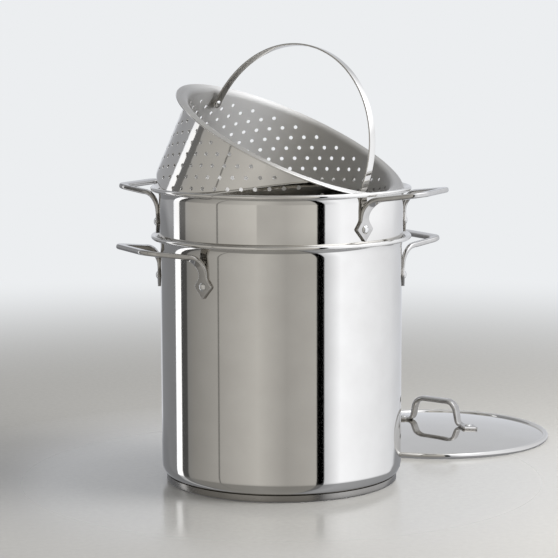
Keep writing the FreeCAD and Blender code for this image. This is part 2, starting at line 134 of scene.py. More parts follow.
polished = steel("stainless_mirror_polished", "#d4d2cd", "#c8c5c0", 0.03, 0.08, RING_WIDTH, 0.0015, SMEAR)
print("finish:", polished.name)

# %% [markdown]
# ## Satin and cast stainless steel
#
# The insides of the pot, the insert and the steamer basket are turned with a scouring belt: the rings are
# coarse enough to blur a reflection into soft streaks. The cap of the base is brushed more finely and is a
# darker grey. The grey is partly its own greyer steel and partly painted shade, standing for the shaded floor
# beside the pot in its reflection. The handles are cast and tumbled, then buffed: their mirror is slightly
# wavy like orange peel, and a little darker where the mop did not reach. Rivets are plain polished heads.


# %% Satin and cast stainless steel
BELT_WIDTH = 2.2          # mm, the rings of the scouring belt, drawn coarser than real ones so that they show
SATIN_CLOUD = 30.0        # mm, the size of the patches on a satin face
BRUSHED = 0.95            # how far a satin face draws a highlight out across its lines

satin = steel("stainless_turned_satin", "#d6d4cf", "#cac7c2", 0.48, 0.60, BELT_WIDTH, 0.05, SATIN_CLOUD,
              BRUSHED)
# The cap's two greys are partly its own steel and partly painted shade: the shaded floor it mirrors by the
# pot.
base_steel_painted_shade = steel("stainless_base_brushed_painted_shade", "#95928d", "#7f7c77", 0.18, 0.30, RING_WIDTH, 0.01, SATIN_CLOUD)


def cast_steel(name, light, dark, peel):
    """Buffed castings: a wavy skin of the given size in millimetres, darker in its low places."""
    material, tree, output = empty_material(name)
    place = node(tree, "TexCoord").outputs["Object"]
    waves = node(tree, "TexNoise", {"Vector": place, "Scale": 1000 / peel, "Detail": 2.0}).outputs["Fac"]
    grain = node(tree, "TexNoise", {"Vector": place, "Scale": 6000 / peel, "Detail": 3.0}).outputs["Fac"]
    colour = node(tree, "Mix", {0: waves, 6: linear(dark), 7: linear(light)}, data_type="RGBA").outputs[2]
    roughness = node(tree, "MapRange", {0: grain, 1: 0.3, 2: 0.7, 3: 0.05, 4: 0.12}).outputs[0]
    bump = node(tree, "Bump", {"Height": waves, "Strength": 0.15, "Distance": 0.0001})
    shader = node(tree, "BsdfPrincipled", {"Base Color": colour, "Metallic": 1.0, "Roughness": roughness,
                                           "Normal": bump.outputs[0]})
    tree.links.new(shader.outputs[0], output.inputs[0])
    return material


cast = cast_steel("stainless_cast_buffed", "#bbb9b5", "#a6a39f", 5.0)
rivet_steel = cast_steel("stainless_rivet_polished", "#d6d5d2", "#c4c2be", 3.0)
print("finishes:", satin.name, base_steel_painted_shade.name, cast.name, rivet_steel.name)

# %% [markdown]
# ## From surfaces to pieces
#
# A surface here is a grid: rows along an outline, columns round the axis or across a strap. Pieces are
# made of several such grids that meet exactly. Joining them means merging the points that coincide, which
# numpy does in one call, and a square whose corners fall together at an axis becomes a triangle. Normals
# are smoothed except across edges that are really sharp, such as the rim of a punched hole.

# %% Grids, welding and pieces
MM = 0.001
WELD = 0.002              # mm
SHARP = 38.0              # degrees, an edge that turns more than this stays sharp
UPWARD = np.array([0.0, 0.0, 1.0])


def unit(vector):
    """A vector at length one."""
    return vector / np.linalg.norm(vector, axis=-1, keepdims=True)


def grid(points):
    """Squares over a grid of points (rows, columns, 3): each takes its two neighbours along both ways."""
    rows, columns = points.shape[:2]
    index = np.arange(rows * columns).reshape(rows, columns)
    squares = np.stack([index[:-1, :-1], index[:-1, 1:], index[1:, 1:], index[1:, :-1]], -1)
    return points.reshape(-1, 3), squares.reshape(-1, 4)


def welded(surfaces):
    """All surfaces as one: points within WELD of each other become one point, and its first along is kept."""
    points = np.concatenate([s[0] for s in surfaces])
    along = np.concatenate([s[2] for s in surfaces])
    faces = []
    start = 0
    for surface_points, surface_faces, _ in surfaces:
        faces += (np.asarray(surface_faces) + start).tolist()
        start += len(surface_points)
    _, first, same = np.unique(np.round(points / WELD).astype(np.int64), axis=0, return_index=True,
                               return_inverse=True)
    same = same.ravel()
    faces = [list(dict.fromkeys(same[face].tolist())) for face in faces]
    return points[first], [face for face in faces if len(face) > 2], along[first]


def make_piece(name, surfaces, finish, body, slot, *nodes):
    """Put surfaces (points in mm, faces, along) into one object that rides on a body and stands for nodes."""
    points, faces, along = welded(surfaces)
    mesh = bpy.data.meshes.new(name)
    mesh.from_pydata((points * MM).tolist(), [], faces)
    mesh.attributes.new("along", "FLOAT", "POINT").data.foreach_set("value", along.astype(np.float32))
    mesh.polygons.foreach_set("use_smooth", np.ones(len(mesh.polygons), bool))
    mesh.set_sharp_from_angle(angle=np.radians(SHARP))
    mesh.materials.append(finish)
    mesh.update()
    piece = bpy.data.objects.new(name, mesh)
    bpy.context.scene.collection.objects.link(piece)
    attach(piece, body)
    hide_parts(*nodes)
    print(name, len(points), "points,", len(faces), "faces")
    return piece


def polish_outside(piece, inside_point):
    """A face is outside, and polished, where its normal points away from a point that sees the inside."""
    count = len(piece.data.polygons)
    normals, centres = np.empty((2, count * 3), np.float32)
    piece.data.polygons.foreach_get("normal", normals)
    piece.data.polygons.foreach_get("center", centres)
    away = np.sum(normals.reshape(-1, 3) * (centres.reshape(-1, 3) - inside_point * MM), axis=1) > 0
    piece.data.attributes.new("polish", "FLOAT", "FACE").data.foreach_set("value", away.astype(np.float32))
    print(piece.name, int(away.sum()), "of", count, "faces are polished")


def brush_round(piece, place, axis):
    """The grain across lines that run round an axis: the axis plus the way out from it, at each point."""
    points = np.empty(len(piece.data.vertices) * 3, np.float32)
    piece.data.vertices.foreach_get("co", points)
    points = points.reshape(-1, 3) - place * MM
    out = points - (points @ axis)[:, None] * axis + 1e-9
    grain = axis + unit(out)
    layer = piece.data.attributes.new("grain", "FLOAT_VECTOR", "POINT")
    layer.data.foreach_set("vector", grain.astype(np.float32).ravel())


def moved(surfaces, turn, shift):
    """The same surfaces turned by a 3 by 3 matrix and then shifted, in mm."""
    return [(points @ turn.T + shift, faces, along) for points, faces, along in surfaces]


def about_z(angle):
    """The matrix that turns by an angle in degrees about Z."""
    c, s = np.cos(np.radians(angle)), np.sin(np.radians(angle))
    return np.array([[c, -s, 0], [s, c, 0], [0, 0, 1]])


def about_y(angle):
    """The matrix that turns by an angle in degrees about Y."""
    c, s = np.cos(np.radians(angle)), np.sin(np.radians(angle))
    return np.array([[c, 0, s], [0, 1, 0], [-s, 0, c]])


# %% [markdown]
# ## Outlines
#
# A spun piece is one outline turned about its axis. Its straight runs and bends are those of the press
# tool: corner points with a bend radius each. One function rounds such a run of points, in the plane for
# an outline or in space for a strap, and another shifts a run sideways by the thickness of the sheet.


# %% Bends and outlines
def bent(points, bends, step):
    """Straight runs joined by arcs: an arc meets both runs at bend / tan(half the corner's angle)."""
    points = np.asarray(points, float)
    run = [points[:1]]
    for before, corner, after, bend in zip(points, points[1:], points[2:], bends):
        back, ahead = unit(before - corner), unit(after - corner)
        half = np.arccos(np.clip(back @ ahead, -1, 1)) / 2
        centre = corner + unit(back + ahead) * bend / np.sin(half)
        entry = corner + back * bend / np.tan(half)
        turn = np.linspace(0, np.pi - 2 * half, max(6, int(bend * (np.pi - 2 * half) / step) + 1))[:, None]
        run.append(straight(run[-1][-1], entry, step))
        run.append(centre + (entry - centre) * np.cos(turn) - back * bend * np.sin(turn))
    run.append(straight(run[-1][-1], points[-1], step))
    run = np.concatenate(run)
    keep = np.linalg.norm(np.diff(run, axis=0), axis=1) > 1e-6
    return run[np.append(True, keep)]


def straight(start, end, step):
    """Even stations on a straight run, no further apart than step."""
    count = max(2, int(np.ceil(np.linalg.norm(end - start) / step)) + 1)
    return start + (end - start) * np.linspace(0, 1, count)[:, None]


def beside(points, shift):
    """The run moved to its left: each corner moves along the sum of its two normals, by shift / (1 + cos)."""
    points = np.asarray(points, float)
    ahead = unit(np.diff(points, axis=0))
    left = np.stack([-ahead[:, 1], ahead[:, 0]], 1)
    both = left[:-1] + left[1:]
    inner = both * (shift / (1 + np.sum(left[:-1] * left[1:], axis=1)))[:, None]
    return points + np.concatenate([left[:1] * shift, inner, left[-1:] * shift])


def arc(centre, radius, start, end, count):
    """Points (r, z) on a circle between two angles in degrees."""
    angle = np.radians(np.linspace(start, end, count))
    return np.asarray(centre) + radius * np.stack([np.cos(angle), np.sin(angle)], 1)


def turned(outline, columns, first=0.0):
    """The outline (r, z) swept round Z: x = r cos a, y = r sin a, in even steps of a from a first angle."""
    angle = np.radians(first + np.linspace(0, 360, columns + 1))
    r, z = outline[:, :1], outline[:, 1:]
    points = np.stack([r * np.cos(angle), r * np.sin(angle), z + 0 * angle], -1)
    length = np.append(0, np.cumsum(np.linalg.norm(np.diff(outline, axis=0), axis=1)))
    return (*grid(points), np.repeat(length, columns + 1))


print("a quarter bend of 10 mm in", len(bent([(0, 0), (20, 0), (20, 20)], [10], 2)), "stations")

# %% [markdown]
# ## The rolled lip
#
# Pot and insert end in the same lip: the wall flares out along an arc and its edge is rolled into a wire-
# like bead. A bevel would only round an edge. The lip is a real roll, so its outline follows the flare,
# goes round the bead nearly full circle and stops in the dark crease where the roll meets the wall.

# %% The rolled lip
LIP_RADIUS, LIP_SLOPE, BEAD = 130.3, 58.0, 2.2
LIP_RUN = 0.5             # mm, the last straight run of the wall below its lip


def lip_flare(inside, top):
    """The flare's bend radius and the height where it starts, from the wall's inside and the lip's top."""
    slope = np.radians(LIP_SLOPE)
    bend = (LIP_RADIUS - BEAD * (1 + np.cos(slope)) - inside) / (1 - np.cos(slope))
    return bend, top - bend * np.sin(slope) - BEAD * (1 - np.sin(slope))


def lip_outline(inside, top, wall):
    """Up the outside of the flare, round the bead and down the inside of the flare."""
    bend, base = lip_flare(inside, top)
    centre = np.array([inside + bend, base])
    slope = np.radians(LIP_SLOPE)
    across = np.array([np.cos(slope), -np.sin(slope)])
    ahead = np.array([np.sin(slope), np.cos(slope)])
    bead_centre = centre - across * (bend - BEAD)
    crease = np.arccos((BEAD - wall) / BEAD)
    hidden = np.degrees(BEAD * np.sin(crease) / (bend - wall))
    outside = arc(centre, bend - wall, 180, 180 - LIP_SLOPE + hidden, 16)
    roll = np.linspace(2 * np.pi - crease, 0, 40)[:, None]
    bead = bead_centre + BEAD * (ahead * np.sin(roll) - across * np.cos(roll))
    inner = arc(centre, bend, 180 - LIP_SLOPE, 180, 20)
    return np.concatenate([outside, bead[1:], inner[1:]])


print("lip of the pot:", len(lip_outline(120.0, 248.0, 1.0)), "stations")

# %% [markdown]
# ## The pot
#
# A deep-drawn shell with a small corner, standing on a thick base: an aluminium disc under a steel cap.
# One turned outline goes from the axis under the floor, up the outside, over the lip and back inside.
# Stations a few millimetres apart keep the smoothed normals of a long straight wall truly level.

# %% The pot and its base
POT_RADIUS, POT_HEIGHT, POT_WALL, POT_CORNER = 121.0, 248.0, 1.0, 13.0
BASE_RADIUS, BASE_HEIGHT, CAP_WALL, BASE_GAP = 116.4, 6.4, 0.8, 0.15
POT_COLUMNS = 192

pot_inside = POT_RADIUS - POT_WALL
pot_bend, pot_base = lip_flare(pot_inside, POT_HEIGHT)
cap_inside = BASE_RADIUS - CAP_WALL
cap_reach = cap_inside - POT_RADIUS + POT_CORNER
pot_under = BASE_HEIGHT + BASE_GAP - POT_CORNER + np.sqrt(POT_CORNER ** 2 - cap_reach ** 2)
pot_floor = pot_under + POT_WALL
pot_outline = np.concatenate([
    bent([(0, pot_under), (POT_RADIUS, pot_under), (POT_RADIUS, pot_base - LIP_RUN)], [POT_CORNER], 5.0),
    lip_outline(pot_inside, POT_HEIGHT, POT_WALL),
    bent([(pot_inside, pot_base - LIP_RUN), (pot_inside, pot_floor), (0, pot_floor)],
         [POT_CORNER - POT_WALL], 5.0)])
pot = make_piece("pot_wall", [turned(pot_outline, POT_COLUMNS)], satin, "pot", "polished_stainless",
                 "pot_shell", "pot_floor")
polish_outside(pot, np.array([0, 0, POT_HEIGHT / 2]))
brush_round(pot, np.zeros(3), UPWARD)

cap_outline = bent([(0, 0), (BASE_RADIUS, 0), (BASE_RADIUS, BASE_HEIGHT), (cap_inside, BASE_HEIGHT),
                    (cap_inside, CAP_WALL), (0, CAP_WALL)], [0.8, 0.35, 0.2, 0.2], 6.0)
make_piece("pot_base_cup", [turned(cap_outline, POT_COLUMNS)], base_steel_painted_shade, "pot", "polished_stainless",
           "pot_base_cap")

# %% [markdown]
# ## Punched sheet
#
# A strainer is a sheet with holes punched through it. A Boolean would leave long slivers that spoil the
# shine, and a see-through texture has no edges. So the wall is tiled: round each hole a square tile of the
# unrolled wall, with a ring of faces from the hole to the edge of the tile, inside and outside, and a short
# tube between. Every second column is half a pitch higher, and tiles meet because each side of a tile has
# four equal steps.

# %% Punched walls
SIDE_STEPS = 4
NEAR_HOLE = 0.62          # how near the middle ring of a tile lies to its hole
HOLE_SIDES = 16


def tile_edge():
    """Points round a square from -1 to 1, anticlockwise from the middle of its right side."""
    half = SIDE_STEPS // 2
    rise = np.linspace(-1, 1, SIDE_STEPS + 1)[:-1]
    right = np.stack([np.ones(SIDE_STEPS), rise], 1)
    quarter = np.array([[0, -1], [1, 0]])
    edge = np.concatenate([right @ np.linalg.matrix_power(quarter.T, k) for k in range(4)])
    return np.roll(edge, -half, axis=0)


def punched_wall(inner, outer, columns, rows_even, rows_odd, pitch, hole, low, high):
    """A wall between two radii from low to high, with a hole of one width at each row of each column."""
    width = 360 / columns
    edge = tile_edge()
    angle = np.linspace(0, 2 * np.pi, len(edge) + 1)[:-1]
    column = np.concatenate([np.repeat(np.arange(k, columns, 2), len(rows))
                             for k, rows in enumerate((rows_even, rows_odd))])
    middle = np.concatenate([np.tile(rows, columns // 2) for rows in (rows_even, rows_odd)])
    bottom = np.maximum(middle - pitch / 2, low) - middle
    top = np.minimum(middle + pitch / 2, high) - middle
    rise = np.where(edge[:, 1] > 0, edge[:, 1] * top[:, None], -edge[:, 1] * bottom[:, None])
    rim_a = np.radians(width) * (column[:, None] + edge[:, 0] / 2)
    rim_z = middle[:, None] + rise
    hole_a = np.radians(width) * column[:, None] + hole / (inner + outer) * np.cos(angle)
    hole_z = middle[:, None] + hole / 2 * np.sin(angle)
    between_a = NEAR_HOLE * hole_a + (1 - NEAR_HOLE) * rim_a
    between_z = NEAR_HOLE * hole_z + (1 - NEAR_HOLE) * rim_z
    layers = [(outer, rim_a, rim_z), (outer, between_a, between_z), (outer, hole_a, hole_z),
              (inner, hole_a, hole_z), (inner, between_a, between_z), (inner, rim_a, rim_z)]
    points = np.stack([np.stack([r * np.cos(a), r * np.sin(a), z], -1) for r, a, z in layers], 1)
    points = np.concatenate([points, points[:, :, :1]], 2)
    tiles, layer, ring = points.shape[:3]
    index = np.arange(tiles * layer * ring).reshape(tiles, layer, ring)
    squares = np.stack([index[:, :-1, :-1], index[:, :-1, 1:], index[:, 1:, 1:], index[:, 1:, :-1]], -1)
    surfaces = [(points.reshape(-1, 3), squares.reshape(-1, 4), points[..., 2].ravel())]
    for k, rows in enumerate((rows_even, rows_odd)):
        for start, end in ((low, rows[0] - pitch / 2), (rows[-1] + pitch / 2, high)):
            if end - start > WELD:
                surfaces += plain_patches(inner, outer, np.arange(k, columns, 2), width, start, end)
    return surfaces


def plain_patches(inner, outer, columns, width, start, end):
    """Unpunched squares that fill every second column between the last hole's tile and the edge."""
    steps = np.linspace(-0.5, 0.5, SIDE_STEPS + 1)
    height = np.linspace(start, end, SIDE_STEPS // 2 + 1)
    surfaces = []
    for column in columns:
        angle = np.radians(width * (column + steps))
        for radius, order in ((outer, 1), (inner, -1)):
            points = np.stack([radius * np.cos(angle)[None] + 0 * height[:, None],
                               radius * np.sin(angle)[None] + 0 * height[:, None],
                               height[:, None] + 0 * angle[None]], -1)[:, ::order]
            surfaces.append((*grid(points), points[..., 2].ravel()))
    return surfaces


def hole_rows(low, high, pitch):
    """The heights of the holes: even columns count down from high, odd ones from half a pitch lower."""
    tops = (high, high - pitch / 2)
    even, odd = (top - pitch * np.arange(int((top - low) / pitch), -1, -1) for top in tops)
    return even, odd


def punched_floor(radius, low, high, pitch, hole, columns, first):
    """A flat disc with rings of holes, six more in each ring; its triangles join the holes and the rim."""
    rings = [np.zeros((1, 2))]
    for ring in range(1, int((radius - hole) / pitch) + 1):
        angle = np.linspace(0, 2 * np.pi, 6 * ring + 1)[:-1]
        rings.append(ring * pitch * np.stack([np.cos(angle), np.sin(angle)], 1))
    centres = np.concatenate(rings)
    turn = np.linspace(0, 2 * np.pi, HOLE_SIDES + 1)[:-1]
    circle = hole / 2 * np.stack([np.cos(turn), np.sin(turn)], 1)
    holes = (centres[:, None] + circle[None]).reshape(-1, 2)
    angle = np.radians(first + np.linspace(0, 360, columns + 1))[:-1]
    rim = radius * np.stack([np.cos(angle), np.sin(angle)], 1)
    flat = np.concatenate([rim, holes])
    loops = [list(range(columns))]
    loops += [list(range(k, k + HOLE_SIDES)) for k in range(columns, columns + len(holes), HOLE_SIDES)]
    edges = [(a, b) for loop in loops for a, b in zip(loop, loop[1:] + loop[:1])]
    triangles = np.array(delaunay_2d_cdt([Vector(p) for p in flat.tolist()], edges, [], 0, 1e-6)[2])
    middle = flat[triangles].mean(axis=1)
    gap = np.linalg.norm(middle[:, None] - centres[None], axis=2).min(axis=1)
    triangles = triangles[gap > hole / 2 * 0.95]
    across = flat[triangles]
    side = np.cross(across[:, 1] - across[:, 0], across[:, 2] - across[:, 0])
    triangles[side < 0] = triangles[side < 0][:, ::-1]
    above = np.column_stack([flat, np.full(len(flat), high)])
    below = np.column_stack([flat, np.full(len(flat), low)])
    distance = np.linalg.norm(flat, axis=1)
    surfaces = [(above, triangles, distance), (below, triangles[:, ::-1], distance)]
    ring = np.arange(HOLE_SIDES)
    loop = np.arange(0, len(holes), HOLE_SIDES)[:, None] + columns
    here, there = (loop + ring).ravel(), (loop + (ring + 1) % HOLE_SIDES).ravel()
    tube = np.stack([here, there, there + len(flat), here + len(flat)], 1)
    surfaces.append((np.concatenate([above, below]), tube, np.concatenate([distance, distance])))
    return surfaces


print("a tile has", len(tile_edge()), "points on its edge")

# %% [markdown]
# ## The strainer insert
#
# Only its plain band and its lip show above the pot. Below, a straight punched wall hangs in the pot and a
# sloping shoulder seats in the pot's flare. The outline is worked out from that seat: the shoulder is the
# line that touches the flare of the pot, moved in by the clearance and half the sheet.

# %% The strainer insert
BAND_RADIUS, LIP_RISE, INSERT_WALL, STRAINER_RADIUS = 122.2, 48.0, 0.9, 116.0
SHOULDER_SLOPE, INSERT_CORNER, INSERT_LEVEL, REST_GAP = 25.0, 8.0, 52.4, 0.3
SHOULDER_LOW_BEND, SHOULDER_HIGH_BEND = 4.0, 3.0
INSERT_HOLE, INSERT_COLUMNS, INSERT_PITCH, INSERT_RINGS = 6.0, 30, 22.0, 30.0
CORNER_RUN = 1.0          # mm, the straight run between a corner bend and the punched sheet

insert_inside = BAND_RADIUS - INSERT_WALL
insert_top = POT_HEIGHT + LIP_RISE
_, insert_base = lip_flare(insert_inside, insert_top)
slope = np.radians(SHOULDER_SLOPE)
seat = np.array([pot_inside + pot_bend, pot_base]) + np.array([-np.cos(slope), np.sin(slope)]) * (
    pot_bend + REST_GAP + INSERT_WALL / 2)
low_r, high_r = STRAINER_RADIUS - INSERT_WALL / 2, BAND_RADIUS - INSERT_WALL / 2
shoulder_low = np.array([low_r, seat[1] - (seat[0] - low_r) / np.tan(slope)])
shoulder_high = np.array([high_r, seat[1] + (high_r - seat[0]) / np.tan(slope)])
strainer_in = STRAINER_RADIUS - INSERT_WALL
rows_even, rows_odd = hole_rows(INSERT_LEVEL + INSERT_CORNER + INSERT_HOLE, shoulder_low[1] - 2 * INSERT_HOLE,
                                INSERT_PITCH)
wall_low = max(INSERT_LEVEL + INSERT_CORNER + CORNER_RUN, min(rows_even[0], rows_odd[0]) - INSERT_PITCH / 2)
wall_high = max(rows_even[-1], rows_odd[-1]) + INSERT_HOLE
middle_line = [(low_r, wall_high), shoulder_low, shoulder_high, (high_r, insert_base - LIP_RUN)]
half = INSERT_WALL / 2
upper = np.concatenate([
    bent(beside(middle_line, -half), [SHOULDER_LOW_BEND + half, SHOULDER_HIGH_BEND - half], 4.0),
    lip_outline(insert_inside, insert_top, INSERT_WALL),
    bent(beside(middle_line, half), [SHOULDER_LOW_BEND - half, SHOULDER_HIGH_BEND + half], 4.0)[::-1]])
disc = STRAINER_RADIUS - INSERT_CORNER - CORNER_RUN
insert_floor = INSERT_LEVEL + INSERT_WALL
first = -180 / INSERT_COLUMNS
ring = INSERT_COLUMNS * SIDE_STEPS
lower_out = bent([(disc, INSERT_LEVEL), (STRAINER_RADIUS, INSERT_LEVEL), (STRAINER_RADIUS, wall_low)],
                 [INSERT_CORNER], 4.0)
lower_in = bent([(strainer_in, wall_low), (strainer_in, insert_floor), (disc, insert_floor)],
                [INSERT_CORNER - INSERT_WALL], 4.0)
insert_surfaces = [turned(upper, ring, first), turned(lower_out, ring, first), turned(lower_in, ring, first)]
insert_surfaces += punched_wall(strainer_in, STRAINER_RADIUS, INSERT_COLUMNS, rows_even, rows_odd,
                                INSERT_PITCH, INSERT_HOLE, wall_low, wall_high)
insert_surfaces += punched_floor(disc, INSERT_LEVEL, insert_floor, INSERT_RINGS, INSERT_HOLE, ring, first)
insert = make_piece("insert_strainer", insert_surfaces, satin, "insert", "polished_stainless", "insert_shell")
polish_outside(insert, np.array([0, 0, POT_HEIGHT / 2]))
brush_round(insert, np.zeros(3), UPWARD)

# %% [markdown]
# ## The steamer basket
#
# A shallow punched bowl with a flat flange whose edge is folded back into a hem. It is built level, with
# the top of the flange at zero, and then leans as it does on the lip of the insert. Its place is put into
# the mesh, so that the piece itself stays at the origin as its solid does.

# %% The steamer basket
BASKET_RADIUS, BASKET_DEPTH, BASKET_WALL, BASKET_CORNER = 110.4, 90.8, 0.9, 8.5
FLANGE_RADIUS, FLANGE_BEND, HEM_HEIGHT, HEM_WIDTH = 122.7, 3.0, 1.6, 2.5
HEM_FOLD, HEM_EDGE = 0.1, 0.7
BASKET_HOLE, BASKET_COLUMNS, BASKET_PITCH, BASKET_RINGS = 4.0, 56, 12.4, 20.0
PIVOT_DROP, PIVOT_TURN = 13.2, -15.5
BASKET_HEADING, BASKET_TILT = -52.6, 26.05
BASKET_TURN = about_z(BASKET_HEADING) @ about_y(BASKET_TILT)
BASKET_PLACE = np.array([6.73935, -8.8147, 342.225])

basket_in = BASKET_RADIUS - BASKET_WALL
rows_even, rows_odd = hole_rows(BASKET_CORNER + BASKET_HOLE - BASKET_DEPTH, -PIVOT_DROP, BASKET_PITCH)
wall_low, wall_high = rows_even[0] - BASKET_PITCH / 2, rows_even[-1] + BASKET_PITCH / 2
hem = FLANGE_RADIUS - HEM_WIDTH
rim = np.concatenate([
    bent([(BASKET_RADIUS, wall_high), (BASKET_RADIUS, -BASKET_WALL), (hem, -BASKET_WALL), (hem, -HEM_HEIGHT),
          (FLANGE_RADIUS, -HEM_HEIGHT), (FLANGE_RADIUS, 0), (hem, 0)],
         [FLANGE_BEND, HEM_FOLD, HEM_FOLD, HEM_EDGE, HEM_EDGE], 3.0),
    bent([(hem, 0), (basket_in, 0), (basket_in, wall_high)], [FLANGE_BEND + BASKET_WALL], 3.0)[1:]])
disc = BASKET_RADIUS - BASKET_CORNER - CORNER_RUN
basket_floor = BASKET_WALL - BASKET_DEPTH
first = PIVOT_TURN - 180 / BASKET_COLUMNS
ring = BASKET_COLUMNS * SIDE_STEPS
lower_out = bent([(disc, -BASKET_DEPTH), (BASKET_RADIUS, -BASKET_DEPTH), (BASKET_RADIUS, wall_low)],
                 [BASKET_CORNER], 4.0)
lower_in = bent([(basket_in, wall_low), (basket_in, basket_floor), (disc, basket_floor)],
                [BASKET_CORNER - BASKET_WALL], 4.0)
basket_surfaces = [turned(rim, ring, first), turned(lower_out, ring, first), turned(lower_in, ring, first)]
wall = punched_wall(basket_in, BASKET_RADIUS, BASKET_COLUMNS, rows_even, rows_odd, BASKET_PITCH, BASKET_HOLE,
                    wall_low, wall_high)
basket_surfaces += moved(wall, about_z(PIVOT_TURN), (0, 0, 0))
basket_surfaces += punched_floor(disc, -BASKET_DEPTH, basket_floor, BASKET_RINGS, BASKET_HOLE, ring, first)
basket = make_piece("steamer_basket", moved(basket_surfaces, BASKET_TURN, BASKET_PLACE), satin, "basket",
                    "satin_stainless", "basket_shell")
polish_outside(basket, BASKET_PLACE + BASKET_TURN @ np.array([0, 0, BASKET_DEPTH / 2]))
brush_round(basket, BASKET_PLACE, BASKET_TURN[:, 2])

# %% [markdown]
# ## Strap handles
#
# Each side handle is one casting: a flat strap that starts as a lozenge on the wall, narrows to a leg,
# bends outwards and runs round as a loop. So it is one surface: a rounded oblong section carried along the
# bent path, whose width and thickness change on the way. At the foot the section also bows, so that its
# back lies on the round wall. The face of the strap turns with the path from facing outwards to lying flat.

# %% Straps
SECTION_STEPS = 6


def strap(path, face, half_width, half_thick, edge, bow=0.0):
    """Section corners (a - e, b - e) plus a quarter circle e, set across the path and along its face.

    Across is the path's direction times the face, and the bow moves a point back by its width squared.
    """
    ahead = unit(np.gradient(path, axis=0))
    face = unit(face - ahead * np.sum(face * ahead, axis=1, keepdims=True))
    across = np.cross(ahead, face)
    edge = np.minimum(edge, np.minimum(half_width, half_thick))[:, None]
    quarter = np.radians(np.linspace(0, 90, SECTION_STEPS))
    angle = np.concatenate([quarter + k * np.pi / 2 for k in range(4)])
    sign_w = np.repeat([1, -1, -1, 1], SECTION_STEPS)
    sign_t = np.repeat([1, 1, -1, -1], SECTION_STEPS)
    w = sign_w * (half_width[:, None] - edge) + edge * np.cos(angle)
    t = sign_t * (half_thick[:, None] - edge) + edge * np.sin(angle)
    t = t - np.asarray(bow).reshape(-1, 1) * w ** 2
    w, t = np.column_stack([w, w[:, 0]]), np.column_stack([t, t[:, 0]])
    points = path[:, None] + across[:, None] * w[..., None] + face[:, None] * t[..., None]
    ends = [np.broadcast_to(points[k, :-1].mean(axis=0), (1, *points.shape[1:])) for k in (0, -1)]
    points = np.concatenate([ends[0], points, ends[1]])
    length = np.append(0, np.cumsum(np.linalg.norm(np.diff(path, axis=0), axis=1)))
    length = np.concatenate([[0], length, length[-1:]])
    return (*grid(points[:, ::-1]), np.repeat(length, points.shape[1]))


def from_ends(path):
    """The distance of each station from the nearer end of its path."""
    length = np.append(0, np.cumsum(np.linalg.norm(np.diff(path, axis=0), axis=1)))
    return np.minimum(length, length[-1] - length)


print("a strap section has", 4 * SECTION_STEPS, "points")

# %% The side handles
FOOT_WIDTH, FOOT_BELOW, FOOT_ABOVE, FOOT_THICK = 22.0, 11.5, 15.0, 3.0
BAR_WIDTH, BAR_THICK, BAR_EDGE = 10.0, 5.0, 1.9
FOOT_SPAN, REACH, LOOP_RISE, LOOP_LIFT, LOOP_WIDTH = 108.0, 39.0, 27.0, 6.0, 76.0
LEG_BEND, LOOP_BEND = 18.0, 16.0
FOOT_TIP, FOOT_GAP = 0.8, 0.05
SWELL_START, SWELL_RUN, BOW_RUN = 6.0, 18.0, 8.0


def lozenge_width(distance, narrow):
    """Half the foot's width: it grows evenly to the rivet, then falls evenly until the bar takes over."""
    grow = FOOT_WIDTH / 2 * (distance + FOOT_TIP) / (FOOT_BELOW + FOOT_TIP)
    fall = FOOT_WIDTH / 2 * (FOOT_BELOW + FOOT_ABOVE - distance) / FOOT_ABOVE
    soft = 0.6
    peak = -soft * np.log(np.exp(-grow / soft) + np.exp(-fall / soft))
    waist = np.logaddexp(peak / soft, narrow / soft) * soft
    return np.where(distance < FOOT_BELOW, np.minimum(peak, waist), waist)


def side_handle(wall_radius):
    """A loop along +X: up the wall from one foot, outwards, round, and back to the other foot."""
    spread = np.arcsin(FOOT_SPAN / 2 / wall_radius)
    middle = wall_radius + FOOT_THICK / 2 + FOOT_GAP
    foot_x, foot_y = middle * np.cos(spread), middle * np.sin(spread)
    loop_x, loop_y = wall_radius + REACH, LOOP_WIDTH / 2
    top = LOOP_RISE + LOOP_LIFT
    path = bent([(foot_x, -foot_y, -FOOT_BELOW), (foot_x, -foot_y, LOOP_RISE), (loop_x, -loop_y, top),
                 (loop_x, loop_y, top), (foot_x, foot_y, LOOP_RISE), (foot_x, foot_y, -FOOT_BELOW)],
                [LEG_BEND, LOOP_BEND, LOOP_BEND, LEG_BEND], 1.5)
    ahead = unit(np.gradient(path, axis=0))
    upright = np.abs(ahead[:, 2:])
    side = np.sign(path[:, 1:2])
    from_wall = np.concatenate([np.cos(spread) + 0 * side, np.sin(spread) * side, 0 * side], 1)
    tilt = np.arctan2(LOOP_LIFT, loop_x - foot_x)
    flat = np.array([np.sin(tilt), 0, -np.cos(tilt)])
    face = from_wall * upright + flat * (1 - upright)
    distance = from_ends(path)
    swell = np.clip((distance - FOOT_BELOW - SWELL_START) / SWELL_RUN, 0, 1)
    thick = FOOT_THICK + (BAR_THICK - FOOT_THICK) * swell * swell * (3 - 2 * swell)
    bow = np.clip((FOOT_BELOW + FOOT_ABOVE - distance) / BOW_RUN, 0, 1) / (2 * wall_radius)
    width = lozenge_width(distance, BAR_WIDTH / 2)
    return strap(path, face, width, thick / 2, np.full(len(path), BAR_EDGE), bow)


POT_RIVET_HEIGHT, INSERT_RIVET_HEIGHT, INSERT_ANGLE = 206.0, 260.5, -49.7
for body, radius, height, angle in (("pot", POT_RADIUS, POT_RIVET_HEIGHT, 0.0),
                                    ("insert", BAND_RADIUS, INSERT_RIVET_HEIGHT, INSERT_ANGLE)):
    for side, turn in (("left", 180.0), ("right", 0.0)):
        handle = moved([side_handle(radius)], about_z(angle + turn), (0, 0, height))
        make_piece(body + "_strap_" + side, handle, cast, body, "cast_stainless", body + "_handle_" + side)

# %% [markdown]
# ## Rivets
#
# A rivet is a turned piece too: a low dome outside, a shank through the foot and the wall, and a flat tail
# inside. One outline serves them all, laid along the direction in which each rivet goes through.

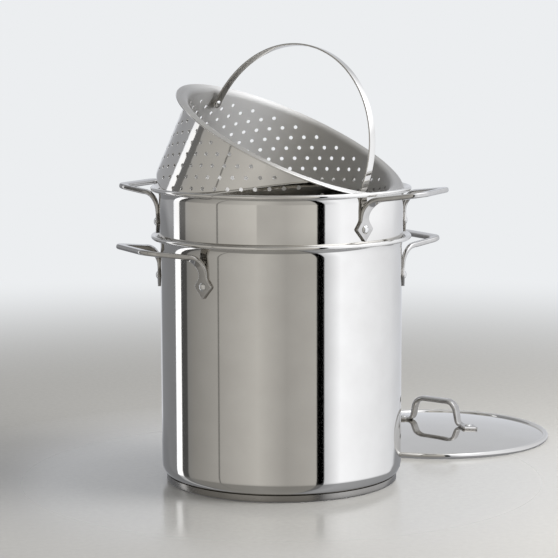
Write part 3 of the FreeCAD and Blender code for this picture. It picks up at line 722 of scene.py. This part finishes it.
# %% Rivets
RIVET_RADIUS, HEAD_RADIUS, HEAD_HEIGHT, TAIL_RADIUS, TAIL = 2.5, 4.2, 2.0, 4.2, 1.0
HEAD_LAP, RIVET_COLUMNS = 0.05, 28


def dome(radius, height, count=12):
    """From a low dome's edge to its top, on a sphere of radius c: r = c sin a, z = c cos a - c + height."""
    crown = (radius ** 2 + height ** 2) / (2 * height)
    angle = np.linspace(np.arcsin(radius / crown), 0, count)
    return np.stack([crown * np.sin(angle), crown * np.cos(angle) - crown + height], 1)


def rivet(grip):
    """A rivet along Z whose head sits at zero, with its tail below a grip of the given length."""
    body = bent([(0, -grip - TAIL), (TAIL_RADIUS, -grip - TAIL), (TAIL_RADIUS, -grip), (RIVET_RADIUS, -grip),
                 (RIVET_RADIUS, 0), (HEAD_RADIUS - HEAD_LAP, 0)], [0.4, 0.1, 0.1, 0.1], 1.0)
    return turned(np.concatenate([body, dome(HEAD_RADIUS, HEAD_HEIGHT)]), RIVET_COLUMNS)


OUT = np.array([[0, 0, 1], [0, 1, 0], [-1, 0, 0]], float)
for body, radius, wall, height, angle in (
        ("pot", POT_RADIUS, POT_WALL, POT_RIVET_HEIGHT, 0.0),
        ("insert", BAND_RADIUS, INSERT_WALL, INSERT_RIVET_HEIGHT, INSERT_ANGLE)):
    spread = np.degrees(np.arcsin(FOOT_SPAN / 2 / radius))
    shift = np.array([radius + FOOT_THICK, 0, height])
    one = moved([rivet(FOOT_THICK + wall)], OUT, shift)
    rivets = []
    for turn in (-spread, spread, 180 - spread, 180 + spread):
        rivets += moved(one, about_z(angle + turn), (0, 0, 0))
    make_piece(body + "_rivet_set", rivets, rivet_steel, body, "rivet_stainless", body + "_rivets")

# %% [markdown]
# ## The bail
#
# A thin strap bent to a half circle, with a rounded eye at each end, turns on two shouldered rivets in the
# basket's wall. It is the same strap function: the path is a half circle with a short straight end, and the
# width follows a circle at the eye.

# %% The bail and its pivots
STRAP_WIDTH, STRAP_THICK, STRAP_EDGE, EYE_RADIUS = 9.0, 1.8, 0.7, 5.0
PIVOT_RADIUS, PIVOT_HEAD, PIVOT_RISE = 2.0, 3.6, 1.4
COLLAR, RUNNING_GAP, BAIL_LEAN = 2.0, 0.05, -2.6
BAIL_SPAN = basket_in - COLLAR - RUNNING_GAP - STRAP_THICK / 2

end = np.linspace(-EYE_RADIUS + 0.01, -0.3, 14)[:, None]
half_circle = np.linspace(0, np.pi, 150)
bow_path = np.stack([-BAIL_SPAN * np.cos(half_circle), 0 * half_circle, BAIL_SPAN * np.sin(half_circle)], 1)
left_end = np.concatenate([0 * end - BAIL_SPAN, 0 * end, end], 1)
bail_path = np.concatenate([left_end, bow_path, (left_end * [-1, 1, 1])[::-1]])
distance = from_ends(bail_path)
eye = np.sqrt(np.clip(EYE_RADIUS ** 2 - (distance - EYE_RADIUS) ** 2, 0.01, None))
half_width = np.where(distance < EYE_RADIUS, eye, np.maximum(eye, STRAP_WIDTH / 2))
outward = np.concatenate([bail_path[:, :1], 0 * bail_path[:, :1], np.maximum(bail_path[:, 2:], 0)], 1)
bail_strap = strap(bail_path, outward, half_width, np.full(len(bail_path), STRAP_THICK / 2),
                   np.full(len(bail_path), STRAP_EDGE))
lean = np.radians(BAIL_LEAN)
lean = np.array([[1, 0, 0], [0, np.cos(lean), -np.sin(lean)], [0, np.sin(lean), np.cos(lean)]])
pivot_turn = BASKET_TURN @ about_z(PIVOT_TURN)
pivot_place = BASKET_PLACE + BASKET_TURN @ np.array([0, 0, -PIVOT_DROP])
make_piece("bail_strap", moved([bail_strap], pivot_turn @ lean, pivot_place), polished, "bail",
           "satin_stainless", "bail")

journal = BAIL_SPAN - STRAP_THICK / 2 - RUNNING_GAP
shoulder = basket_in - COLLAR
inner_head = dome(PIVOT_HEAD, PIVOT_RISE)[::-1] * [1, -1] + [0, journal]
outer_head = dome(PIVOT_HEAD, PIVOT_RISE) + [0, BASKET_RADIUS]
pin = bent([(PIVOT_HEAD - HEAD_LAP, journal), (PIVOT_RADIUS, journal), (PIVOT_RADIUS, shoulder),
            (PIVOT_HEAD, shoulder), (PIVOT_HEAD, basket_in), (PIVOT_RADIUS, basket_in),
            (PIVOT_RADIUS, BASKET_RADIUS), (PIVOT_HEAD - HEAD_LAP, BASKET_RADIUS)],
           [0.1, 0.1, 0.2, 0.1, 0.1, 0.1], 1.0)
pin = moved([turned(np.concatenate([inner_head, pin, outer_head]), RIVET_COLUMNS)], OUT, (0, 0, 0))
pins = moved(pin, pivot_turn, pivot_place) + moved(pin, pivot_turn @ about_z(180), pivot_place)
make_piece("bail_pivot_pair", pins, rivet_steel, "basket", "rivet_stainless", "bail_pivots")

# %% [markdown]
# ## The lid
#
# The lid lies on the surface beside the pot: a low dome that runs into a round bead, with a smaller strap
# handle across it. The dome is an arc of a large circle, turned; the handle is the strap again, along a path
# that follows the dome under both feet.

# %% The lid
LID_RADIUS, LID_WALL, LID_RISE, LID_BEAD = 125.0, 1.0, 11.5, 2.9
LID_TURN, LID_PLACE = about_z(-63.2), np.array([243.2, 105.0, 0.0])
LID_FOOT_SPAN, LID_LEG_SPAN, LID_HANDLE_HEIGHT, LID_LEAN, LID_BAR_THICK = 86.0, 60.0, 28.0, 5.0, 5.4
LID_FOOT_BEND, LID_TOP_BEND, LID_SWELL_RUN = 7.0, 12.0, 14.0

lid_edge = LID_RADIUS - 2 * LID_BEAD
lid_crown = (lid_edge ** 2 + LID_RISE ** 2) / (2 * LID_RISE)
lid_top = LID_BEAD + LID_WALL / 2 + LID_RISE
centre = np.array([0, lid_top - lid_crown])


def dome_height(r, above=0.0):
    """The height of the dome's outside at a distance from the axis, or of a surface above it."""
    return centre[1] + np.sqrt((lid_crown + above) ** 2 - np.square(r))


reach = np.linspace(0, lid_edge + 0.06, 60)
under = np.stack([reach, dome_height(reach, -LID_WALL)], 1)
over = np.stack([reach[::-1], dome_height(reach[::-1])], 1)
bead_centre = np.array([LID_RADIUS - LID_BEAD, LID_BEAD])
start = np.degrees(np.arctan2(*(under[-1] - bead_centre)[::-1]))
stop = np.degrees(np.arctan2(*(over[0] - bead_centre)[::-1]))
bead = arc(bead_centre, LID_BEAD, start % 360, stop % 360 + 360, 48)
lid = turned(np.concatenate([under, bead[1:-1], over]), POT_COLUMNS)
make_piece("lid_dome", moved([lid], LID_TURN, LID_PLACE), polished, "lid", "polished_stainless", "lid_shell")

tip = LID_FOOT_SPAN / 2 + FOOT_BELOW
knee = LID_LEG_SPAN / 2
high = lid_top + LID_HANDLE_HEIGHT - BAR_THICK / 2
half_foot = FOOT_THICK / 2 + FOOT_GAP
side_points = [(-tip, 0, dome_height(tip, half_foot)), (-knee, 0, dome_height(knee, half_foot)),
               (LID_LEAN - knee, 0, high)]
lid_path = bent(side_points + [(-x, y, z) for x, y, z in side_points[::-1]],
                [LID_FOOT_BEND, LID_TOP_BEND, LID_TOP_BEND, LID_FOOT_BEND], 1.0)
ahead = unit(np.gradient(lid_path, axis=0))
face = np.cross(ahead, [0.0, 1.0, 0.0])
distance = from_ends(lid_path)
swell = np.clip((distance - FOOT_BELOW - SWELL_START) / LID_SWELL_RUN, 0, 1)
thick = FOOT_THICK + (LID_BAR_THICK - FOOT_THICK) * swell
lid_strap = strap(lid_path, face, lozenge_width(distance, BAR_WIDTH / 2), thick / 2, thick / 2)
make_piece("lid_strap", moved([lid_strap], LID_TURN, LID_PLACE), cast, "lid", "cast_stainless", "lid_handle")

tilt = np.degrees(np.arcsin(LID_FOOT_SPAN / 2 / lid_crown))
rivets = []
for side in (-1, 1):
    lean = about_y(side * tilt)
    spot = np.array([0, 0, centre[1]]) + lean @ np.array([0, 0, lid_crown + FOOT_THICK])
    rivets += moved([rivet(FOOT_THICK + LID_WALL)], lean, spot)
make_piece("lid_rivet_set", moved(rivets, LID_TURN, LID_PLACE), rivet_steel, "lid", "rivet_stainless",
           "lid_rivets")

# %% [markdown]
# ## The base disc
#
# The aluminium disc is shut in between the steel cap and the floor of the pot. Its solid is right as it is,
# so it only gets a finish: bare turned aluminium.

# %% The base disc
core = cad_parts["pot_base_core"]
core.data.materials.clear()
core.data.materials.append(cast_steel("aluminium_turned_bare", "#c9cacc", "#b4b5b8", 8.0))
print("base disc:", core.name)

# %% [markdown]
# ## The studio
#
# Polished metal has no colour of its own: it shows what stands round it. A round tent of cards stands on a
# plain pale floor: a wide bright card on the right, a narrow one behind on the left, grey cards between and
# one black flag. Each card has three levels: beside the pot, beside the insert and above both. Only
# reflections see the tent. The floor is polished round the object, matt further out so that it doesn't
# mirror the cards, and fades into the pale background. Mirror rays from the steel pass through the floor,
# and the tent goes on below it, so the cards run down the pot to its base as in the photograph. Further
# down the tent is darker: from the front only lips, bars and bends look that low, and it shades them.

# %% Floor and background
CAMERA_TURN = -26.0
BACKGROUND = "#eceef0"
POLISHED_TO, MATT_FROM = 0.22, 0.4         # metres from the middle of the pot
FADE_FROM, FADE_TO = 0.5, 1.7

floor_material, tree, output = empty_material("floor_pale_polished_stone")
place = node(tree, "TexCoord").outputs["Object"]
speckle = node(tree, "TexNoise", {"Vector": place, "Scale": 180.0, "Detail": 4.0}).outputs["Fac"]
tone = node(tree, "Mix", {0: speckle, 6: linear("#b4b2ae"), 7: linear("#c1bfbb")},
            data_type="RGBA").outputs[2]
away = node(tree, "VectorMath", {0: place}, operation="LENGTH").outputs["Value"]
worn = node(tree, "MapRange", {0: away, 1: POLISHED_TO, 2: MATT_FROM, 3: 0.14, 4: 0.7}).outputs[0]
shine = node(tree, "MapRange", {0: away, 1: POLISHED_TO, 2: MATT_FROM, 3: 0.5, 4: 0.0}).outputs[0]
stone = node(tree, "BsdfPrincipled", {"Base Color": tone, "Roughness": worn, "Specular IOR Level": shine})
fade = node(tree, "MapRange", {0: away, 1: FADE_FROM, 2: FADE_TO},
            interpolation_type="SMOOTHSTEP").outputs[0]
pale = node(tree, "Emission", {"Color": linear(BACKGROUND), "Strength": 1.0})
mixed = node(tree, "MixShader", {0: fade, 1: stone.outputs[0], 2: pale.outputs[0]})
tree.links.new(mixed.outputs[0], output.inputs[0])

angle = np.linspace(0, 2 * np.pi, 97)
radii = np.array([0.0, 0.3, 0.8, 2.0, 6.0])[:, None]
disc_points = np.stack([radii * np.cos(angle), radii * np.sin(angle), 0 * radii - 0.0002 + 0 * angle], -1)
points, faces, _ = welded([(*grid(disc_points / MM), np.zeros(disc_points[..., 0].size))])
mesh = bpy.data.meshes.new("floor")
mesh.from_pydata((points * MM).tolist(), [], [face[::-1] for face in faces])
mesh.materials.append(floor_material)
floor = bpy.data.objects.new("floor", mesh)
bpy.context.scene.collection.objects.link(floor)
floor.visible_glossy = False

world = bpy.data.worlds.new("studio")
bpy.context.scene.world = world
world.use_nodes = True
tree = world.node_tree
tree.nodes.clear()
fill = node(tree, "Background", {"Color": linear("#f2f4f6"), "Strength": 0.5})
seen = node(tree, "Background", {"Color": linear(BACKGROUND), "Strength": 1.0})
path = node(tree, "LightPath")
direct = node(tree, "Math", {0: path.outputs["Is Camera Ray"], 1: path.outputs["Is Glossy Ray"]},
              operation="MAXIMUM").outputs[0]
direct = node(tree, "Math", {0: direct, 1: path.outputs["Is Transmission Ray"]},
              operation="MAXIMUM").outputs[0]
mixed = node(tree, "MixShader", {0: direct, 1: fill.outputs[0], 2: seen.outputs[0]})
tree.links.new(mixed.outputs[0], node(tree, "OutputWorld").inputs[0])
print("floor and background:", BACKGROUND)

# %% The tent of cards
TENT_RADIUS, TENT_BACK = 0.45, 0.88        # metres, in front and behind
WIDER_FROM, WIDER_RUN = 110.0, 30.0        # degrees, where the front runs into the wider back
TENT_SHADE, TENT_BOTTOM = 0.2, 0.35        # below the sight of the upright walls, and at the very bottom
TENT_HEIGHTS = np.array([-0.5, -0.5, -0.14, -0.1, 0.2, 0.235, 0.42, 0.55, 1.3])
# Plain cards with even light or one even run of it. Each edge has its angle to the right of the camera, and
# its light beside the pot, beside the insert and above both; past the first and the last it stays the same.
CARDS = [(-157, 0.8, 0.8, 0.8), (-150, 0.3, 0.5, 0.4), (-106, 0.3, 0.5, 0.4),      # back, and grey on the left
         (-105.5, 1.9, 1.6, 0.6), (-97, 1.9, 1.6, 0.6),                            # narrow bright card
         (-96.5, 0.1, 0.2, 0.2), (-88.5, 0.1, 0.2, 0.2),                           # dark gap beside it
         (-87.5, 0.3, 0.5, 0.3), (-54, 0.5, 0.6, 0.3),                             # grey card, front left
         (-53.7, 0.2, 0.2, 0.2), (-52.7, 0.2, 0.2, 0.2),                           # thin dark join in it
         (-52.4, 0.5, 0.6, 0.3), (-19.5, 0.7, 0.8, 0.3),                           # and its other half
         (-19, 0.7, 0.6, 0.3), (4, 0.5, 0.6, 0.4), (28.5, 0.6, 0.8, 0.9),          # grey card in front
         (29, 0.0, 0.0, 0.9), (35, 0.0, 0.0, 1.4),                                 # black flag
         (35.5, 0.9, 1.2, 1.6), (50, 1.6, 1.6, 3.0), (93, 1.3, 1.5, 3.0),          # wide bright card
         (150, 0.8, 0.8, 0.8)]                                                     # back

turn = np.linspace(-180, 180, 1441)
edges, *levels = np.array(CARDS, float).T
lower, upper, high = (np.interp(turn, edges, level) for level in levels)
shaded = TENT_SHADE * (1 + lower)
level = np.stack([0 * lower + TENT_BOTTOM, shaded, shaded, lower, lower, upper, upper, high, high])
cool = np.where(turn > 0, np.clip((turn - 28) / 6, 0, 1), np.clip((-turn - 80) / 25, 0, 1))[None, :, None]
tint = np.array(linear("#fffdf9")[:3]) * (1 - cool) + np.array(linear("#f5f8ff")[:3]) * cool
bearing = np.radians(turn)
wide = np.clip((np.abs(turn) - WIDER_FROM) / WIDER_RUN, 0, 1)
radius = TENT_RADIUS + (TENT_BACK - TENT_RADIUS) * wide * wide * (3 - 2 * wide)
ring_points = np.stack([radius * np.sin(bearing), -radius * np.cos(bearing), 0 * turn], 1)
ring_points = ring_points @ about_z(CAMERA_TURN).T
spread = np.minimum(np.arange(len(TENT_HEIGHTS)), 1)[:, None, None]
tent_points = spread * ring_points[None] + TENT_HEIGHTS[:, None, None] * UPWARD
points, faces = grid(tent_points)
mesh = bpy.data.meshes.new("tent")
mesh.from_pydata(points.tolist(), [], faces.tolist())
glow = np.concatenate([level[..., None] * tint, np.ones((*level.shape, 1))], 2)
layer = mesh.attributes.new("glow", "FLOAT_COLOR", "POINT")
layer.data.foreach_set("color", glow.astype(np.float32).ravel())
tent_material, tree, output = empty_material("tent_cards")
card = node(tree, "Emission", {"Color": node(tree, "Attribute", attribute_name="glow").outputs["Color"]})
tree.links.new(card.outputs[0], output.inputs[0])
mesh.materials.append(tent_material)
tent = bpy.data.objects.new("tent", mesh)
bpy.context.scene.collection.objects.link(tent)
tent.visible_camera = False
tent.visible_diffuse = False
tent.visible_shadow = False
print("tent:", len(CARDS), "card edges")

# %% [markdown]
# ## Lamps and camera
#
# One large soft lamp from the upper right gives the floor its shadow, a wide one above fills it, and a
# smaller one on the right brightens the floor there. The steel doesn't mirror them, as it has the tent. The
# camera stands as it did for the photograph: a long lens, a little above the lip, looking slightly down.


# %% Lamps
def soft_lamp(name, place, target, size, power):
    """A square area lamp at a place, aimed at a target, in metres and watts."""
    data = bpy.data.lights.new(name, "AREA")
    data.size = size
    data.energy = power
    lamp = bpy.data.objects.new(name, data)
    lamp.location = place
    lamp.rotation_euler = (Vector(target) - Vector(place)).to_track_quat("-Z", "Y").to_euler()
    bpy.context.scene.collection.objects.link(lamp)
    lamp.visible_glossy = False


soft_lamp("key", (1.3, -0.6, 1.7), (0.05, 0.0, 0.1), 1.2, 14.0)
soft_lamp("top", (-0.2, 0.3, 2.2), (0.05, 0.05, 0.0), 1.8, 6.0)
soft_lamp("window", (0.68, -0.66, 0.7), (0.14, -0.4, 0.0), 0.6, 10.0)
print("lamps: key, top, window")

# %% Camera
IMAGE_WIDTH = 558
SENSOR_WIDTH = 36.0       # mm
FOCAL_PIXELS, CAMERA_AWAY, CAMERA_HEIGHT = 1920.82, 1.916365, 0.437918
LOOK_DOWN, CAMERA_ROLL, CAMERA_PAN = 7.03, 0.13, 0.05

camera_data = bpy.data.cameras.new("camera")
camera_data.sensor_width = SENSOR_WIDTH
camera_data.lens = SENSOR_WIDTH * FOCAL_PIXELS / IMAGE_WIDTH
camera = bpy.data.objects.new("camera", camera_data)
camera.location = about_z(CAMERA_TURN) @ np.array([0, -CAMERA_AWAY, CAMERA_HEIGHT])
camera.rotation_euler = np.radians([90 - LOOK_DOWN, CAMERA_ROLL, CAMERA_TURN + CAMERA_PAN])
bpy.context.scene.collection.objects.link(camera)
bpy.context.scene.camera = camera
bpy.context.scene.view_settings.view_transform = "Standard"
print("camera lens", round(camera_data.lens, 1), "mm")
